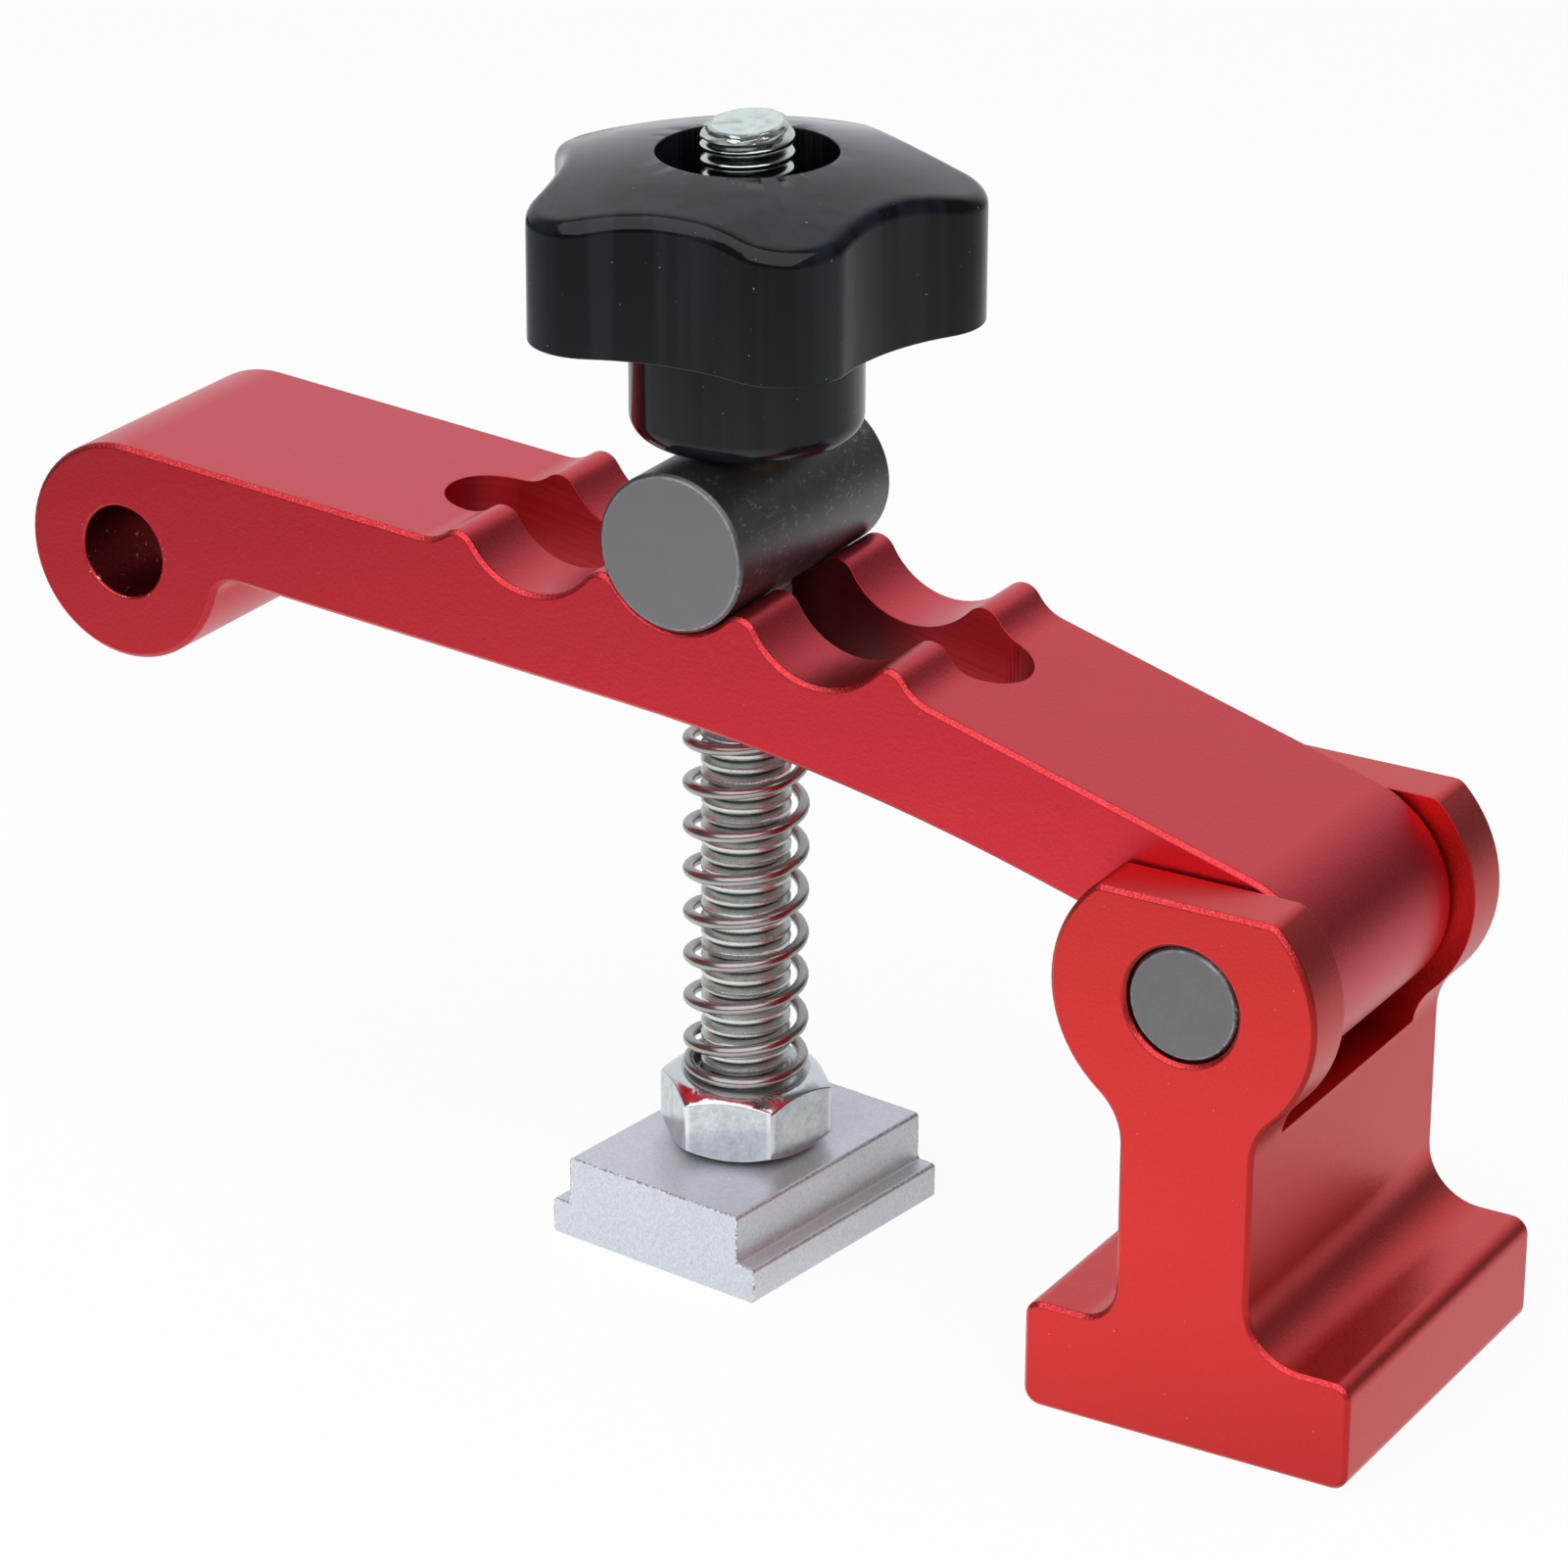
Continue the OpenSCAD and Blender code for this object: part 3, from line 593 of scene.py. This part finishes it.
# %% [markdown]
# ## The thread of the stud
#
# The stud is a plain rod in the CAD model, because a real thread would slow every check.
# A boolean cut could make the groove, but a thread is simply one ring of profile points
# that climbs one pitch a turn, so the mesh is woven directly: each row follows the helix,
# and its last point joins the first point of the turn above. The ends are clipped to the
# rod's height and closed. Shears cut the top, so there the first turn is smeared round,
# the face leans a little, and a burr stands out on one side.

# %% Weave the thread
def make_piece(name, points, faces, finish, node, body):
    """A smooth mesh from points in millimetres that stands for a CAD node."""
    mesh = bpy.data.meshes.new(name)
    mesh.from_pydata([tuple(float(v) * MM for v in p) for p in points], [], faces)
    mesh.validate()
    mesh.materials.append(finish)
    mesh.shade_smooth()
    mesh.set_sharp_from_angle(angle=math.radians(38))
    piece = bpy.data.objects.new(name, mesh)
    bpy.context.scene.collection.objects.link(piece)
    if body:
        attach(piece, body)
    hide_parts(node)
    print(f"{name}: {len(mesh.vertices)} points, {len(mesh.polygons)} faces")
    return piece


PITCH = 1.25
THREAD = ((0.00, 0.0), (0.06, 0.04), (0.14, 0.30), (0.27, 0.82), (0.36, 0.98),
          (0.50, 0.93), (0.64, 1.0), (0.74, 0.84), (0.87, 0.30), (0.95, 0.04))


RIM = 0.12  # depth of the rolled rim of the sheared end
SMEAR, SMEAR_R = 0.4, 0.3  # how deep the shears filled the groove, and how far past END_R


def end_reach(depth, angle):
    """How far the rod reaches out at a depth below its end, where the shears pressed it."""
    uneven = 0.07 * math.sin(5 * angle + 1) + 0.06 * math.sin(9 * angle) \
        + 0.04 * math.sin(17 * angle + 2)
    edge = END_R + 2.8 * min(depth, RIM) + 3 * max(depth - 0.5, 0)
    return edge + uneven * min(depth / RIM, 1)


def threaded_rod(low, high, crest, root, around=48):
    """Points and faces of a right-hand thread between two heights."""
    rows = math.ceil((high - low) / PITCH + 3) * around
    width = len(THREAD)
    points = []
    for i in range(rows):
        angle = 2 * math.pi * i / around
        start = low - 2 * PITCH + PITCH * i / around
        for share, depth in THREAD:
            z = start + share * PITCH
            reach = root + (crest - root) * depth
            below, above = max(high - z, 0), max(z - low, 0)
            filled = END_R + SMEAR_R if below < SMEAR else 0
            reach = min(max(reach, filled), end_reach(below, angle), root + above)
            points.append((reach * math.cos(angle), reach * math.sin(angle),
                           min(max(z, low), high)))
    faces = []
    for i in range(rows - 1):
        for k in range(width):
            a, b = i * width + k, (i + 1) * width + k
            if k + 1 < width:
                quad = (a, b, b + 1, a + 1)
            elif i + 1 + around < rows:
                quad = (a, b, (i + 1 + around) * width, (i + around) * width)
            else:
                continue
            heights = [points[v][2] for v in quad]
            if min(heights) < high - 1e-6 and max(heights) > low + 1e-6:
                faces.append(quad)
    return points, faces


def close_end(points, faces, height, lump_depth=0.0):
    """Caps the open edge at a height with rings that shrink to the middle."""
    edges = {}
    for face in faces:
        for a, b in zip(face, face[1:] + face[:1]):
            if (b, a) in edges:
                del edges[(b, a)]
            else:
                edges[(a, b)] = True
    follow = {a: b for a, b in edges if abs(points[a][2] - height) < 1e-6
              and abs(points[b][2] - height) < 1e-6}
    start = next(iter(follow))
    loop = [start]
    while follow[loop[-1]] != start:
        loop.append(follow[loop[-1]])
    ring = loop
    for share in (0.97, 0.9, 0.78, 0.6, 0.4, 0.2):
        base = len(points)
        for v in loop:
            x, y = points[v][0] * share, points[v][1] * share
            lump = math.sin(2.1 * x + 0.6) * math.cos(1.7 * y) + 0.6 * math.sin(3.9 * y + x)
            points.append((x, y, height + lump_depth * (lump - 1.6) * min(1 - share, 0.3)))
        for k in range(len(loop)):
            n = (k + 1) % len(loop)
            faces.append((ring[n], ring[k], base + k, base + n))
        ring = list(range(base, base + len(loop)))
    points.append((0, 0, height - lump_depth * 0.3))
    for k in range(len(ring)):
        faces.append((ring[(k + 1) % len(ring)], ring[k], len(points) - 1))


LEAN_DEPTH = 2.4  # height over which the turns lean with the sheared face
BURR = math.radians(-155)


def lean_and_burr(points, high):
    """Leans the last turns with the sheared face, and draws a burr out of its rim."""
    for i, (x, y, z) in enumerate(points):
        share = min(max((z - high + LEAN_DEPTH) / LEAN_DEPTH, 0), 1)
        lean = (x * END_SLOPE[0] + y * END_SLOPE[1]) * share * share * (3 - 2 * share)
        reach, angle = math.hypot(x, y), math.atan2(y, x)
        tooth = max(0, 1 - abs(angle - BURR) / 0.22) * max(0, 1 - (high - z) / 0.5)
        out = 1 + 0.16 * tooth if reach > 2.9 else 1
        points[i] = (x * out, y * out, z + lean - 0.1 * tooth)


stud_low, stud_high = (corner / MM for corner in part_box("stud"))
cut_height = stud_high.z - END_DROP
THREAD_DEPTH, END_DENT = 0.72, 0.12
stud_points, stud_faces = threaded_rod(stud_low.z, cut_height,
                                       stud_high.x, stud_high.x - THREAD_DEPTH)
close_end(stud_points, stud_faces, cut_height, END_DENT)
close_end(stud_points, stud_faces, stud_low.z)
lean_and_burr(stud_points, cut_height)
make_piece("stud_thread", stud_points, stud_faces, stud_zinc, "stud", "base")

# %% [markdown]
# ## The spring
#
# The coil is one wire of round section swept along a helix. At the foot it has one closed
# turn whose start lies flat on the nut, and at the head, under the arm, it has two.

# %% Sweep the wire
WIRE_R, COIL_R, START = 0.525, 5.02, math.radians(117)
FOOT_TURNS, OPEN_TURNS, HEAD_TURNS = 1, 7.8, 2
CLOSED_PITCH = 1.06 * 2 * WIRE_R
FLAT_TURN = 0.4


def coil_height(turn, low, high):
    """Height of the wire's middle. It lies flat for FLAT_TURN, climbs, opens, and closes."""
    pitch = (high - low - (FOOT_TURNS + HEAD_TURNS) * CLOSED_PITCH) / OPEN_TURNS
    if turn < FOOT_TURNS:
        climb = max(0, turn - FLAT_TURN) / (FOOT_TURNS - FLAT_TURN)
        return low + CLOSED_PITCH * climb * climb * (3 - 2 * climb) ** 0.5
    open_part = min(turn - FOOT_TURNS, OPEN_TURNS)
    head = turn - FOOT_TURNS - open_part
    return low + CLOSED_PITCH * (FOOT_TURNS + head) + pitch * open_part


def sweep_coil(low, high, per_turn=36, sides=12):
    count = round((FOOT_TURNS + OPEN_TURNS + HEAD_TURNS) * per_turn)
    points = []
    for i in range(count + 1):
        angle = START + 2 * math.pi * i / per_turn
        z = coil_height(i / per_turn, low, high)
        for k in range(sides):
            a = 2 * math.pi * k / sides
            reach = COIL_R + WIRE_R * math.cos(a)
            points.append((reach * math.cos(angle), reach * math.sin(angle),
                           z + WIRE_R * math.sin(a)))
    faces = []
    for i in range(count):
        for k in range(sides):
            here, next_k = i * sides, (k + 1) % sides
            faces.append((here + k, here + sides + k, here + sides + next_k, here + next_k))
    faces.append(tuple(range(sides)))
    faces.append(tuple(reversed(range(count * sides, count * sides + sides))))
    return points, faces


coil_low, coil_high = (corner.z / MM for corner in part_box("spring"))
wire_low, wire_high = coil_low + WIRE_R, coil_high - WIRE_R
spring_points, spring_faces = sweep_coil(wire_low, wire_high)
spring = make_piece("spring_coil", spring_points, spring_faces, spring_wire(),
                    "spring", None)
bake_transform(spring)
